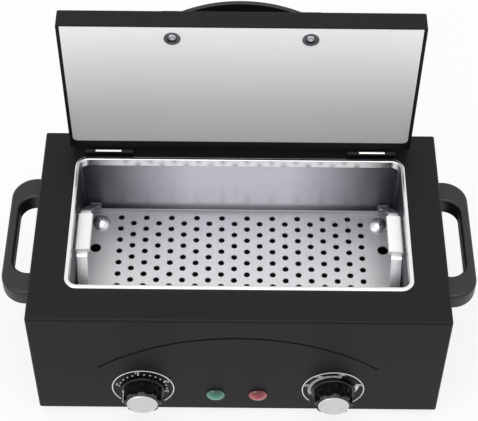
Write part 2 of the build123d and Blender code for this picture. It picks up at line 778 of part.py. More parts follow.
def make_lid_handle():
    """A bowed bar across the front of the lid, with a flat foot at each end."""
    centre = bow_rise - bow_radius
    ring = Pos(0, centre) * (Circle(bow_radius) - Circle(bow_radius - bow_thick))
    side_view = ring & Pos(0, bow_rise) * Rectangle(2 * bow_foot_outer, 2 * bow_rise)
    reach = sqrt((bow_radius - bow_thick) ** 2 - centre ** 2)
    foot_mid = (reach + bow_foot_outer) / 2
    for side in (-1, 1):
        side_view += Pos(side * foot_mid, bow_foot_thick / 2) * Rectangle(bow_foot_outer - reach, bow_foot_thick)
    bow = Pos(0, handle_screw_y, lid_top) * Rot(90, 0, 0) * extrude(side_view, bow_width / 2, both=True)
    rims = [f.outer_wire().edges() for f in (bow.faces().sort_by(Axis.Y)[0], bow.faces().sort_by(Axis.Y)[-1])]
    arcs = [e for wire in rims for e in wire if e.geom_type == GeomType.CIRCLE]
    bow = fillet(arcs, 0.9)
    for side in (-1, 1):
        bow -= post(1.7, side * handle_screw_x, handle_screw_y, lid_top - 1, lid_top + bow_foot_thick + 4)
    return bow


def make_cup_washers():
    outer = washer_radius - 1.5
    inner = outer - washer_wall
    cup = turned([(washer_radius, 0), (outer, 0), (outer, washer_depth), (1.8, washer_depth),
                  (1.8, washer_depth - washer_wall), (inner, washer_depth - washer_wall),
                  (inner, -washer_lip), (washer_radius, -washer_lip)])
    return [Pos(side * handle_screw_x, handle_screw_y, liner_face) * cup for side in (-1, 1)]


def lid_handle_screws():
    screws = []
    seat = liner_face + washer_depth - washer_wall
    length = lid_top + bow_foot_thick - seat
    for side in (-1, 1):
        screw = pan_screw(3.0, 1.9, 1.6, length)
        screws.append(Pos(side * handle_screw_x, handle_screw_y, seat) * Rot(180, 0, 0) * screw)
    return screws


# Hinges

def leaf_rivet_columns():
    mid = (hinge_inner_x + hinge_outer_x) / 2
    reach = (hinge_outer_x - hinge_inner_x) / 3
    return (mid - reach, mid + reach)


def knuckle(x0, x1):
    return rod_x(knuckle_radius, pin_y, pin_z, x0, x1)


def fixed_leaf():
    """The right-hand leaf on the casing, with the two outer knuckles."""
    leaf = block(hinge_inner_x, hinge_outer_x, pin_y, pin_y + leaf_length, casing_height,
                 casing_height + leaf_thick)
    middle_x0 = knuckle_inner_x - knuckle_end_gap
    middle_x1 = knuckle_outer_x + knuckle_end_gap
    room = knuckle_radius + hinge_clearance
    leaf -= block(middle_x0, middle_x1, pin_y - 1, pin_y + room + 0.4, casing_height - 1, casing_height + 2)
    leaf = fillet(leaf.edges().filter_by(Axis.Z).group_by(Axis.Y)[-1], 2.0)
    leaf += knuckle(hinge_inner_x, middle_x0) + knuckle(middle_x1, hinge_outer_x)
    leaf -= rod_x(pin_radius + pin_fit, pin_y, pin_z, hinge_inner_x - 1, hinge_outer_x + 1)
    for x in leaf_rivet_columns():
        leaf -= post(rivet_radius + 0.05, x, pin_y + leaf_rivet_out, casing_height - 1, casing_height + 3)
    return leaf


def lid_leaf():
    """The right-hand leaf on the lid's back, with the middle knuckle; drawn closed."""
    leaf = block(hinge_inner_x, hinge_outer_x, lid_back, lid_back + leaf_thick, pin_z, pin_z + leaf_length)
    room = knuckle_radius + hinge_clearance
    for x0, x1 in ((hinge_inner_x - 1, knuckle_inner_x), (knuckle_outer_x, hinge_outer_x + 1)):
        leaf -= block(x0, x1, lid_back - 1, lid_back + 2, pin_z - 1, pin_z + room + 0.4)
    leaf = fillet(leaf.edges().filter_by(Axis.Y).group_by(Axis.Z)[-1], 2.0)
    leaf += knuckle(knuckle_inner_x, knuckle_outer_x)
    leaf -= rod_x(pin_radius + pin_fit, pin_y, pin_z, hinge_inner_x, hinge_outer_x)
    for x in leaf_rivet_columns():
        leaf -= rod_y(rivet_radius + 0.05, x, pin_z + leaf_rivet_out, lid_back - 1, lid_back + 3)
    return leaf


def hinge_pin():
    return rod_x(pin_radius, pin_y, pin_z, hinge_inner_x, hinge_outer_x)


def leaf_rivet(head_height, grip):
    """A rivet along +Z, its factory head above z = 0 and its closed head below the grip."""
    head = Pos(0, 0, head_height / 2) * Cylinder(rivet_head_radius, head_height)
    head = fillet(head.edges().sort_by(Axis.Z)[-1], head_height * 0.5)
    shank = Pos(0, 0, -grip / 2) * Cylinder(rivet_radius, grip)
    return head + shank + Pos(0, 0, -grip - 0.4) * Cylinder(rivet_head_radius, 0.8)


def casing_leaf_rivets():
    rivet = leaf_rivet(leaf_rivet_head, leaf_thick + sheet)
    top = casing_height + leaf_thick
    return [Pos(side * x, pin_y + leaf_rivet_out, top) * rivet
            for side in (-1, 1) for x in leaf_rivet_columns()]


def lid_leaf_rivets():
    rivet = Rot(-90, 0, 0) * leaf_rivet(leaf_rivet_head, leaf_thick + sheet)
    return [Pos(side * x, lid_back + leaf_thick, pin_z + leaf_rivet_out) * rivet
            for side in (-1, 1) for x in leaf_rivet_columns()]


# Controls. Each is drawn facing +Z at the origin, with the panel's front face at z = 0

def facing_front(x, z):
    return Pos(x, front_y, z) * Rot(90, 0, 0)


def make_knob():
    """A moulded knob with a round skirt, scooped lobes and a hollow back."""
    skirt = Pos(0, 0, knob_gap + knob_skirt_thick / 2) * Cylinder(knob_skirt_radius, knob_skirt_thick)
    skirt = fillet(skirt.edges().sort_by(Axis.Z)[-1], 0.8)
    grip = Circle(knob_radius)
    scoop_radius = knob_radius * sin(pi / knob_lobes) * 0.72
    scoop_out = knob_radius + scoop_radius - knob_scoop
    for i in range(knob_lobes):
        angle = 360 * i / knob_lobes
        grip -= Rot(0, 0, angle) * Pos(scoop_out, 0) * Circle(scoop_radius)
    grip = fillet(grip.vertices(), 0.9)
    body = Pos(0, 0, knob_gap) * extrude(grip, knob_proud - knob_gap)
    body = fillet(body.faces().sort_by(Axis.Z)[-1].edges(), 0.6)
    knob = skirt + body
    room_radius = knob_radius - knob_scoop - knob_wall
    knob -= post(room_radius, 0, 0, 0, knob_proud - 3.0)
    knob += post(shaft_radius + 2.2, 0, 0, bushing_proud + 1.0, knob_proud - 2.0)
    return knob - post(shaft_radius, 0, 0, 0, knob_proud - 2.5)


def make_cap():
    """A spun aluminium cap with a raised rim on the front of the knob."""
    z = knob_proud
    return turned([(0, z), (cap_radius, z), (cap_radius, z + cap_thick - 0.6), (cap_radius - 0.6, z + cap_thick),
                   (cap_radius - 1.4, z + cap_thick), (cap_radius - 2.0, z + cap_thick - 0.5),
                   (0, z + cap_thick - 0.15)])


def make_pointer(angle):
    """A white index line inlaid on the skirt and up the side of a lobe."""
    top = knob_gap + knob_skirt_thick
    line = block(knob_radius, knob_skirt_radius - 0.9, -0.8, 0.8, top, top + 0.4)
    line += block(knob_radius, knob_radius + 0.5, -0.8, 0.8, top, knob_proud - 0.8)
    return Rot(0, 0, angle) * line


def knob_turn(angle):
    """Turns the knob so that a lobe, not a scoop, stands behind the pointer."""
    return Rot(0, 0, angle + 180 / knob_lobes)


def make_shaft():
    shaft = post(shaft_radius, 0, 0, -sheet - 6, knob_proud - 2.5)
    return shaft - block(shaft_radius * 0.6, shaft_radius * 2, -5, 5, bushing_proud + 1, knob_proud)


def make_control_body(half, depth):
    """The works behind the panel, with a threaded bushing that comes through it."""
    body = block(-half, half, -half, half, -sheet - depth, -sheet)
    body = chamfer(body.edges().filter_by(Axis.Z), 2.5)
    body += post(bushing_radius, 0, 0, -sheet, bushing_proud)
    for side in (-1, 1):
        body += block(side * 9 - 3.1, side * 9 + 3.1, half, half + 7.5, -sheet - depth + 3,
                      -sheet - depth + 3.8)
    return body - post(shaft_radius + shaft_fit, 0, 0, -sheet - 6.2, bushing_proud + 1)


def make_bushing_nut():
    nut = extrude(RegularPolygon(8.2, 6), 2.4)
    return nut - post(bushing_radius, 0, 0, -1, 4)


def polar(radius, angle):
    return (radius * cos(radians(angle)), radius * sin(radians(angle)))


def dial_ring():
    """The open ring round a dial; its gap is at the bottom."""
    ring = Circle(dial_ring_radius) - Circle(dial_ring_radius - dial_ring_width)
    far = 3 * dial_ring_radius
    half_gap = (360 - dial_sweep) / 2
    gap = Polyline((0, 0), polar(far, dial_start), polar(far, dial_start + half_gap),
                   polar(far, dial_start + 2 * half_gap), close=True)
    return ring - make_face(gap)


def timer_marks():
    dot = RegularPolygon(dot_radius, 8)
    return [Rot(0, 0, dot_start + i * dot_pitch) * Pos(dot_place, 0) * dot for i in range(dot_count)]


def thermostat_marks():
    pitch = (comb_end - comb_start) / (comb_count - 1)
    line = Pos((comb_inner + comb_outer) / 2, 0) * Rectangle(comb_outer - comb_inner, comb_line)
    marks = [Rot(0, 0, comb_start + i * pitch) * line for i in range(comb_count)]
    middle = (taper_start + taper_end) / 2
    with BuildSketch() as taper:
        with BuildLine():
            ThreePointArc(polar(taper_inner, taper_end), polar(taper_inner, middle), polar(taper_inner, taper_start))
            Line(polar(taper_inner, taper_start), polar(taper_outer, taper_start))
            ThreePointArc(polar(taper_outer, taper_start), polar((taper_inner + taper_outer) / 2, middle),
                          polar(taper_inner, taper_end))
        make_face()
    return marks + [taper.sketch]


def dial_print():
    """Ink on the panel: an open ring round each knob, dots for the timer, a comb for the thermostat."""
    marks = []
    for side, scale in ((-1, timer_marks()), (1, thermostat_marks())):
        marks += [facing_front(side * dial_x, dial_z) * extrude(shape, ink) for shape in [dial_ring()] + scale]
    return marks


def make_lens():
    """A domed lamp lens with a collar, and the stem that goes through the panel."""
    collar = Pos(0, 0, 0.6) * Cylinder(lens_radius, 1.2)
    dome_r = lens_radius - 0.7
    rise = lens_proud - 1.2
    sphere_radius = (dome_r ** 2 + rise ** 2) / (2 * rise)
    dome = Pos(0, 0, lens_proud - sphere_radius) * Sphere(sphere_radius)
    dome &= Pos(0, 0, 1.2 + sphere_radius) * Box(40, 40, 2 * sphere_radius)
    return collar + dome + post(lamp_barrel_radius, 0, 0, -sheet - 4, 0)


def make_lamp_body():
    """The neon lamp's holder behind the lens, with a push-on retainer and two blades."""
    body = post(lamp_barrel_radius, 0, 0, -sheet - 18, -sheet - 4)
    body = body + post(lens_radius, 0, 0, -sheet - 5.2, -sheet - 4)
    for side in (-1, 1):
        body += block(side * 2.6 - 0.4, side * 2.6 + 0.4, -1.6, 1.6, -sheet - 21.5, -sheet - 17)
    return body


# Mains entry and wiring

def make_gland():
    """A moulded bushing for the mains lead: flange outside, neck through the panel."""
    neck = post(gland_hole_radius - 0.05, 0, 0, -sheet - 9, 0)
    flange = Pos(0, 0, 1.6) * Cylinder(gland_flange_radius, 3.2)
    flange = fillet(flange.edges().sort_by(Axis.Z)[-1], 1.2)
    return neck + flange - post(gland_bore_radius, 0, 0, -sheet - 10, 5)


def make_gland_nut():
    nut = Pos(0, 0, -sheet - 4) * extrude(RegularPolygon(9.4, 6), 4)
    return nut - post(gland_hole_radius - 0.05, 0, 0, -sheet - 5, 1)


def facing_back(x, z):
    return Pos(x, rear_y, z) * Rot(-90, 0, 0)


def make_terminal_block():
    body = block(block_x - block_half_x, block_x + block_half_x, block_y - block_half_y,
                 block_y + block_half_y, sheet, sheet + block_height)
    for i in range(4):
        x = block_x - 15 + 10 * i
        body -= post(2.6, x, block_y, sheet + 7, sheet + block_height + 1)
        body -= rod_y(2.0, x, sheet + 5.5, block_y - block_half_y - 1, block_y + block_half_y + 1)
    return body


nodes = {}


def build():
    nodes["outer_casing"] = make_casing()
    nodes["rear_panel"] = make_rear_panel()
    nodes["base_plate"] = make_base()
    nodes["chamber_tub"] = make_tub()
    nodes["chamber_rim"] = make_rim()
    nodes["chamber_insulation"] = make_wool()
    nodes["heating_element"] = make_heater()
    nodes["heater_clamps"] = group(heater_clamps())
    nodes["thermal_cutout"] = make_cutout()
    nodes["thermostat_capillary"] = make_capillary()
    nodes["wiring"] = group(make_wiring())
    nodes["perforated_tray"] = make_tray()
    nodes["tray_legs"] = group(Pos(x, y, 0) * make_tray_leg() for x, y in tray_foot_places())
    nodes["tray_dome_nuts"] = group(Pos(x, y, tray_top_z) * make_dome() for x, y in tray_foot_places())
    bail = make_bail()
    sleeve = make_sleeve()
    nodes["tray_bail_right"] = bail
    nodes["tray_bail_left"] = mirror(bail, Plane.YZ)
    nodes["bail_sleeve_right"] = sleeve
    nodes["bail_sleeve_left"] = mirror(sleeve, Plane.YZ)
    nodes["bail_rivets"] = group(make_bail_rivets())
    handle = make_side_handle()
    nodes["side_handle_right"] = handle
    nodes["side_handle_left"] = mirror(handle, Plane.YZ)
    nodes["side_handle_screws"] = group(handle_screws())
    foot = make_foot()
    foot_screw = Rot(180, 0, 0) * pan_screw(screw_head_radius, screw_head, foot_screw_radius, foot_seat + 5)
    nodes["rubber_feet"] = group(Pos(x, y, 0) * foot for x, y in foot_places())
    nodes["foot_screws"] = group(Pos(x, y, -foot_seat) * foot_screw for x, y in foot_places())
    leaf = fixed_leaf()
    nodes["hinge_leaf_fixed_right"] = leaf
    nodes["hinge_leaf_fixed_left"] = mirror(leaf, Plane.YZ)
    pin = hinge_pin()
    nodes["hinge_pin_right"] = pin
    nodes["hinge_pin_left"] = mirror(pin, Plane.YZ)
    nodes["casing_leaf_rivets"] = group(casing_leaf_rivets())
    nodes["timer_body"] = facing_front(-dial_x, dial_z) * make_control_body(timer_half, timer_depth)
    nodes["thermostat_body"] = facing_front(dial_x, dial_z) * make_control_body(thermostat_half, thermostat_depth)
    nut = make_bushing_nut()
    nodes["bushing_nuts"] = group(facing_front(side * dial_x, dial_z) * nut for side in (-1, 1))
    nodes["dial_print"] = group(dial_print())
    lens = make_lens()
    nodes["green_lamp_lens"] = facing_front(lamp_x[0], lamp_z) * lens
    nodes["red_lamp_lens"] = facing_front(lamp_x[1], lamp_z) * lens
    nodes["lamp_bodies"] = group(facing_front(x, lamp_z) * make_lamp_body() for x in lamp_x)
    panel_screw = pan_screw(screw_head_radius, screw_head, screw_radius, screw_length)
    nodes["rear_panel_screws"] = group(facing_back(x, z) * panel_screw for x, z in rear_screw_places())
    nodes["base_screws"] = group(Pos(x, y, 0) * Rot(180, 0, 0) * panel_screw for x, y in base_screw_places())
    nodes["cord_gland"] = facing_back(gland_x, gland_z) * make_gland()
    nodes["cord_gland_nut"] = facing_back(gland_x, gland_z) * make_gland_nut()
    nodes["terminal_block"] = make_terminal_block()

    nodes["lid_shell"] = opened(make_lid_shell())
    nodes["lid_liner"] = opened(make_liner())
    nodes["lid_insulation"] = opened(make_lid_wool())
    nodes["lid_handle"] = opened(make_lid_handle())
    nodes["lid_handle_screws"] = opened(group(lid_handle_screws()))
    nodes["lid_cup_washers"] = opened(group(make_cup_washers()))
    leaf = lid_leaf()
    nodes["hinge_leaf_lid_right"] = opened(leaf)
    nodes["hinge_leaf_lid_left"] = opened(mirror(leaf, Plane.YZ))
    nodes["lid_leaf_rivets"] = opened(group(lid_leaf_rivets()))

    knob = make_knob()
    cap = make_cap()
    shaft = make_shaft()
    for name, side, angle in (("timer", -1, timer_rest_angle), ("thermostat", 1, dial_start)):
        place = facing_front(side * dial_x, dial_z)
        nodes[name + "_shaft"] = place * knob_turn(angle) * shaft
        nodes[name + "_knob"] = place * knob_turn(angle) * knob
        nodes[name + "_knob_cap"] = place * cap
        nodes[name + "_knob_pointer"] = place * make_pointer(angle)


build()

# The origin goes to the middle of the footprint, at the level of the feet
boxes = [shape.bounding_box() for shape in nodes.values()]
middle_x = (min(b.min.X for b in boxes) + max(b.max.X for b in boxes)) / 2
middle_y = (min(b.min.Y for b in boxes) + max(b.max.Y for b in boxes)) / 2
lowest = min(b.min.Z for b in boxes)
to_origin = Pos(-middle_x, -middle_y, -lowest)

os.makedirs("parts", exist_ok=True)
for name, shape in nodes.items():
    export_step(to_origin * shape, f"parts/{name}.step")
print("moved by", round(-middle_x, 4), round(-middle_y, 4), round(-lowest, 4), "nodes", len(nodes))
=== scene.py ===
import bpy
import bmesh
import json
from math import cos, radians, sin
from mathutils import Matrix, Vector


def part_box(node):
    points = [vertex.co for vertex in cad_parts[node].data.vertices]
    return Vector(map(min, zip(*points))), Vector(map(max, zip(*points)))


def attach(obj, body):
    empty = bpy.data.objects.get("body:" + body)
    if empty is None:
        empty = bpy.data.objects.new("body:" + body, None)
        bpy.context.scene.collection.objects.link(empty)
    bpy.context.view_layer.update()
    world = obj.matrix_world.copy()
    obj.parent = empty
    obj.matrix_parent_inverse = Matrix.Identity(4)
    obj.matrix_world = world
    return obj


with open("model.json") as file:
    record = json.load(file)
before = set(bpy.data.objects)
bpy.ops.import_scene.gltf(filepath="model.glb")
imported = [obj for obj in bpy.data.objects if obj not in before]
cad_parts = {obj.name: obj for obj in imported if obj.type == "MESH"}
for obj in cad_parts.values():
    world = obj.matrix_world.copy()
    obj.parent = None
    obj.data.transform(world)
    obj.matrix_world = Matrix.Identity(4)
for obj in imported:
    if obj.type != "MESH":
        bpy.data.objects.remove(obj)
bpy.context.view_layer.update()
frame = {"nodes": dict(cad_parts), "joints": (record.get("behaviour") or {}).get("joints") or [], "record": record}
nodes = frame["nodes"]
pivots = {joint["name"]: joint["pos_m"] for joint in frame["joints"]}
mm = 0.001
print("frame loaded:", len(nodes), "nodes")


# Colours are written as sRGB hex and turned to linear here
def linear(hexColour):
    parts = [int(hexColour[i:i + 2], 16) / 255 for i in (1, 3, 5)]
    return [p / 12.92 if p <= 0.04045 else ((p + 0.055) / 1.055) ** 2.4 for p in parts] + [1.0]


# Adds a node with its settings, its links or values, and the stops of a colour ramp
def addNode(material, kind, links=None, stops=(), **settings):
    node = material.node_tree.nodes.new(kind)
    for name, value in settings.items():
        setattr(node, name, value)
    for name, value in (links or {}).items():
        if isinstance(value, bpy.types.NodeSocket):
            material.node_tree.links.new(value, node.inputs[name])
        else:
            node.inputs[name].default_value = value
    if stops:
        band = node.color_ramp.elements
        while len(band) < len(stops):
            band.new(0.5)
        for element, (place, colour) in zip(band, stops):
            element.position = place
            element.color = linear(colour)
    return node


def startMaterial(name):
    material = bpy.data.materials.new(name)
    material.use_nodes = True
    material.node_tree.nodes.clear()
    place = addNode(material, "ShaderNodeTexCoord")
    return material, place.outputs["Object"]


def closeMaterial(material, shader):
    addNode(material, "ShaderNodeOutputMaterial", {"Surface": shader.outputs[0]})
    return material


# The scale of a noise whose grains are this wide, in mm
def grainScale(width):
    return 1 / (width * mm)


# A colour that changes along one axis, from the first stop at one place to the last at another, in metres
def colourAlong(material, place, axis, first, second, stops, mirrored=False):
    split = addNode(material, "ShaderNodeSeparateXYZ", {0: place})
    far = split.outputs[axis]
    if mirrored:
        far = addNode(material, "ShaderNodeMath", {0: far}, operation="ABSOLUTE").outputs[0]
    share = addNode(material, "ShaderNodeMapRange", {"Value": far, "From Min": first, "From Max": second})
    band = addNode(material, "ShaderNodeValToRGB", {"Fac": share.outputs["Result"]}, stops)
    return band.outputs["Color"]


# The finishes, each with its own dictionary. Widths, depths and heights there are in mm, and gloss is
# what the pattern takes from the roughness and adds to it
enamel = {"peel": 1.2, "peelDepth": 0.2, "cloud": 110.0, "gloss": (-0.03, 0.04)}


def stovedEnamel(name, base, worn, roughness):
    # Stoved enamel on steel sheet: near black and satin, with a fine orange peel
    material, place = startMaterial(name)
    peel = addNode(material, "ShaderNodeTexNoise", {
        "Vector": place, "Scale": grainScale(enamel["peel"]), "Detail": 2.0})
    cloud = addNode(material, "ShaderNodeTexNoise", {
        "Vector": place, "Scale": grainScale(enamel["cloud"]), "Detail": 3.0})
    colour = addNode(material, "ShaderNodeValToRGB", {"Fac": cloud.outputs["Fac"]}, [
        (0.3, base), (0.75, worn)])
    bump = addNode(material, "ShaderNodeBump", {
        "Height": peel.outputs["Fac"], "Strength": 0.08, "Distance": enamel["peelDepth"] * mm})
    gloss = addNode(material, "ShaderNodeMapRange", {
        "Value": cloud.outputs["Fac"],
        "To Min": roughness + enamel["gloss"][0], "To Max": roughness + enamel["gloss"][1]})
    shader = addNode(material, "ShaderNodeBsdfPrincipled", {
        "Base Color": colour.outputs["Color"], "Roughness": gloss.outputs["Result"], "IOR": 1.5,
        "Specular IOR Level": 0.2, "Normal": bump.outputs["Normal"]})
    return closeMaterial(material, shader)


sheet = {"grainDepth": 0.1, "gloss": (-0.05, 0.06)}


def rolledSheet(name, base, dark, roughness, width, length, runs="X", paintedShading=(), metallic=1.0):
    # Rolled stainless or plated sheet: pale grey with long hairlines one way, or an even mottle.
    # Real hairlines are too fine to show, so they are drawn about half a millimetre wide
    material, place = startMaterial(name)
    scales = [grainScale(length if axis == runs else width) for axis in "XYZ"]
    drawn = addNode(material, "ShaderNodeMapping", {"Vector": place, "Scale": scales}, vector_type="POINT")
    hair = addNode(material, "ShaderNodeTexNoise", {
        "Vector": drawn.outputs["Vector"], "Scale": 1.0, "Detail": 3.0})
    band = addNode(material, "ShaderNodeValToRGB", {"Fac": hair.outputs["Fac"]}, [(0.25, dark), (0.7, base)])
    colour = band.outputs["Color"]
    # Painted shade: each tone laid along an axis darkens the sheet's colour by multiplying it
    for tone in paintedShading:
        tint = colourAlong(material, place, **tone)
        mix = addNode(material, "ShaderNodeMix", {"Factor": 1.0, 6: colour, 7: tint},    # 6 and 7: colours
                      data_type="RGBA", blend_type="MULTIPLY")
        colour = mix.outputs[2]
    gloss = addNode(material, "ShaderNodeMapRange", {
        "Value": hair.outputs["Fac"],
        "To Min": roughness + sheet["gloss"][0], "To Max": roughness + sheet["gloss"][1]})
    bump = addNode(material, "ShaderNodeBump", {
        "Height": hair.outputs["Fac"], "Strength": 0.04, "Distance": sheet["grainDepth"] * mm})
    shader = addNode(material, "ShaderNodeBsdfPrincipled", {
        "Base Color": colour, "Metallic": metallic, "Roughness": gloss.outputs["Result"],
        "Normal": bump.outputs["Normal"]})
    return closeMaterial(material, shader)


polish = {"haze": 16.7, "clear": 0.7, "hazy": 1.5}        # clear and hazy are shares of the roughness


def polishedMetal(name, base, roughness):
    # Polished or plated steel: a near mirror with faint polishing haze
    material, place = startMaterial(name)
    haze = addNode(material, "ShaderNodeTexNoise", {
        "Vector": place, "Scale": grainScale(polish["haze"]), "Detail": 4.0})
    gloss = addNode(material, "ShaderNodeMapRange", {
        "Value": haze.outputs["Fac"],
        "To Min": roughness * polish["clear"], "To Max": roughness * polish["hazy"]})
    shader = addNode(material, "ShaderNodeBsdfPrincipled", {
        "Base Color": linear(base), "Metallic": 1.0, "Roughness": gloss.outputs["Result"]})
    return closeMaterial(material, shader)


turning = {"haze": 1.1}


def turnedMetal(name, base, dark, roughness, axis):
    # Metal spun in a lathe: rings round the axis too fine to show, which draw the light out into fans
    material, place = startMaterial(name)
    ring = addNode(material, "ShaderNodeTangent", direction_type="RADIAL", axis=axis)
    haze = addNode(material, "ShaderNodeTexNoise", {
        "Vector": place, "Scale": grainScale(turning["haze"]), "Detail": 3.0})
    colour = addNode(material, "ShaderNodeValToRGB", {"Fac": haze.outputs["Fac"]}, [(0.3, dark), (0.7, base)])
    shader = addNode(material, "ShaderNodeBsdfPrincipled", {
        "Base Color": colour.outputs["Color"], "Metallic": 1.0, "Roughness": roughness, "Anisotropic": 0.85,
        "Tangent": ring.outputs["Tangent"]})
    return closeMaterial(material, shader)


barrel = {"lineHeight": 2.0, "lineHalf": 0.9}        # the painted highlight line: its height above the hinge's axis, and half its width


def paintedHighlightBarrel(name, black, bright):
    # Blackened steel, with a painted highlight: a thin bright line along the barrel where light would catch its
    # crown
    material, place = startMaterial(name)
    line = pivots["lid_hinge"][2] + barrel["lineHeight"] * mm
    half = barrel["lineHalf"] * mm
    colour = colourAlong(material, place, "Z", line - half, line + half, [
        (0.0, black), (0.3, black), (0.45, bright), (0.62, bright), (0.8, black)])
    shader = addNode(material, "ShaderNodeBsdfPrincipled", {
        "Base Color": colour, "Metallic": 0.7, "Roughness": 0.35})
    return closeMaterial(material, shader)


mould = {"sparkDepth": 0.1}


def mouldedPlastic(name, base, roughness, spark, relief):
    # Moulded plastic, rubber, wool or ink: an even colour with grain from its mould or fibres, drawn
    # coarser than the real spark finish, which is too fine to show
    material, place = startMaterial(name)
    grain = addNode(material, "ShaderNodeTexNoise", {
        "Vector": place, "Scale": grainScale(spark), "Detail": 2.0})
    bump = addNode(material, "ShaderNodeBump", {
        "Height": grain.outputs["Fac"], "Strength": relief, "Distance": mould["sparkDepth"] * mm})
    shader = addNode(material, "ShaderNodeBsdfPrincipled", {
        "Base Color": linear(base), "Roughness": roughness, "IOR": 1.49, "Normal": bump.outputs["Normal"]})
    return closeMaterial(material, shader)


def tintedLens(name, lens, paintedLitEdge, base, paintedDarkTop):
    # Cast acrylic lens over a dark holder, with painted shade deep at the top and painted light along its lower
    # edge
    material, place = startMaterial(name)
    low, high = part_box(lens)
    colour = colourAlong(material, place, "Z", low[2], high[2], [
        (0.0, paintedLitEdge), (0.2, base), (0.6, base), (0.95, paintedDarkTop)])
    shader = addNode(material, "ShaderNodeBsdfPrincipled", {
        "Base Color": colour, "Roughness": 0.06, "IOR": 1.49, "Coat Weight": 0.8, "Coat Roughness": 0.03})
    return closeMaterial(material, shader)


# Painted shade on the steel over the lid's liner, along the tub, in the well under the tray and over the
# tray's floor: darker towards the hinge, the tub's ends, the well and the tray's back. The tub's two places
# are measured from its middle, and the well's from the tray's underside, in mm
falloff = {"tubPale": 40.0, "tubDark": 127.0, "wellDark": 3.2, "wellPale": 0.2}
trayLow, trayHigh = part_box("perforated_tray")
linerShade = [
    {"axis": "Z", "first": pivots["lid_hinge"][2], "second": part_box("lid_shell")[1][2],
     "stops": [(0.0, "#bdbdbd"), (0.35, "#cfcfcf"), (0.7, "#ececec"), (0.95, "#ffffff")]},
]
tubShade = [
    {"axis": "X", "first": falloff["tubPale"] * mm, "second": falloff["tubDark"] * mm, "mirrored": True,
     "stops": [(0.0, "#f4f4f8"), (0.35, "#c8c8cd"), (0.7, "#808086"), (1.0, "#4c4c52")]},
    # Painted shade: nearly black in the well under the tray
    {"axis": "Z", "first": trayLow[2] - falloff["wellDark"] * mm,
     "second": trayLow[2] - falloff["wellPale"] * mm,
     "stops": [(0.0, "#0c0c0c"), (1.0, "#ffffff")]},
]
trayShade = [
    {"axis": "Y", "first": trayLow[1], "second": trayHigh[1],
     "stops": [(0.0, "#ffffff"), (0.5, "#eeeeef"), (1.0, "#bcbcc0")]},
]

# One finish for each slot of the record. Grain widths, grain lengths and sparks are in mm
finishes = {
    "black_enamel": stovedEnamel("stovedEnamel", base="#0b0b0c", worn="#0f0f10", roughness=0.48),
    "zinc_plated_sheet": rolledSheet("zincPlate", base="#c4c8cd", dark="#9ea3aa", roughness=0.4,
                                     width=33.0, length=33.0),
    "stainless_satin": rolledSheet("satinStainless", base="#e4e4e6", dark="#d4d4d8", roughness=0.3,
                                   width=0.57, length=91.0),
    "stainless_polished": polishedMetal("polishedStainless", base="#f1f1f2", roughness=0.12),
    # The liner's colour carries painted shade, darker towards the hinge
    "lid_mirror_sheet": rolledSheet("satinLiner", base="#fcfcfc", dark="#f6f6f6", roughness=0.5,
                                    width=0.48, length=77.0, paintedShading=linerShade, metallic=0.25),
    "chrome_plate": polishedMetal("chromePlate", base="#f3f3f4", roughness=0.08),
    "hinge_steel_black": stovedEnamel("blackenedSteel", base="#070707", worn="#0c0c0c", roughness=0.4),
    # The bright line on the hinge's barrel is a painted highlight
    "hinge_steel_bright": paintedHighlightBarrel("paintedHighlightSteel", black="#0d0d0d", bright="#efece4"),
    "silicone_white": mouldedPlastic("whiteSilicone", base="#f4f4f3", roughness=0.5, spark=1.1, relief=0.06),
    "handle_plastic": mouldedPlastic("satinNylon", base="#121212", roughness=0.42, spark=0.7, relief=0.12),
    "knob_plastic": mouldedPlastic("glossPhenolic", base="#070708", roughness=0.2, spark=1.1, relief=0.02),
    "spun_aluminium": turnedMetal("spunAluminium", base="#dedede", dark="#c4c4c4", roughness=0.3, axis="Y"),
    "white_ink": mouldedPlastic("screenInk", base="#ececea", roughness=0.5, spark=0.7, relief=0.04),
    # The lenses' pale lower edges are painted light, and their deep tops painted shade
    "green_lens": tintedLens("greenAcrylic", lens="green_lamp_lens", paintedLitEdge="#8fd8c6", base="#0b7a66",
                             paintedDarkTop="#03342b"),
    "red_lens": tintedLens("redAcrylic", lens="red_lamp_lens", paintedLitEdge="#e0a0a4", base="#9c1424",
                           paintedDarkTop="#3c050b"),
    "rubber": mouldedPlastic("blackRubber", base="#141414", roughness=0.6, spark=0.8, relief=0.15),
    "screw_steel": polishedMetal("screwSteel", base="#c9c9cb", roughness=0.28),
    "mineral_wool": mouldedPlastic("mineralWool", base="#d9d2bd", roughness=0.95, spark=2.0, relief=0.8),
    "heater_sheath": rolledSheet("dulledSheath", base="#8c857c", dark="#6e675f", roughness=0.5,
                                 width=11.0, length=11.0),
    "phenolic": mouldedPlastic("brownPhenolic", base="#6b4f38", roughness=0.45, spark=1.1, relief=0.05),
    "copper_tube": polishedMetal("drawnCopper", base="#d59a72", roughness=0.3),
    "wire_sleeve": mouldedPlastic("glassSleeve", base="#dcd8ca", roughness=0.8, spark=0.6, relief=0.4),
}
for part in frame["record"]["subparts"]:
    node = nodes[part["node"]]
    node.data.materials.clear()
    node.data.materials.append(finishes[part["material_slot"]])

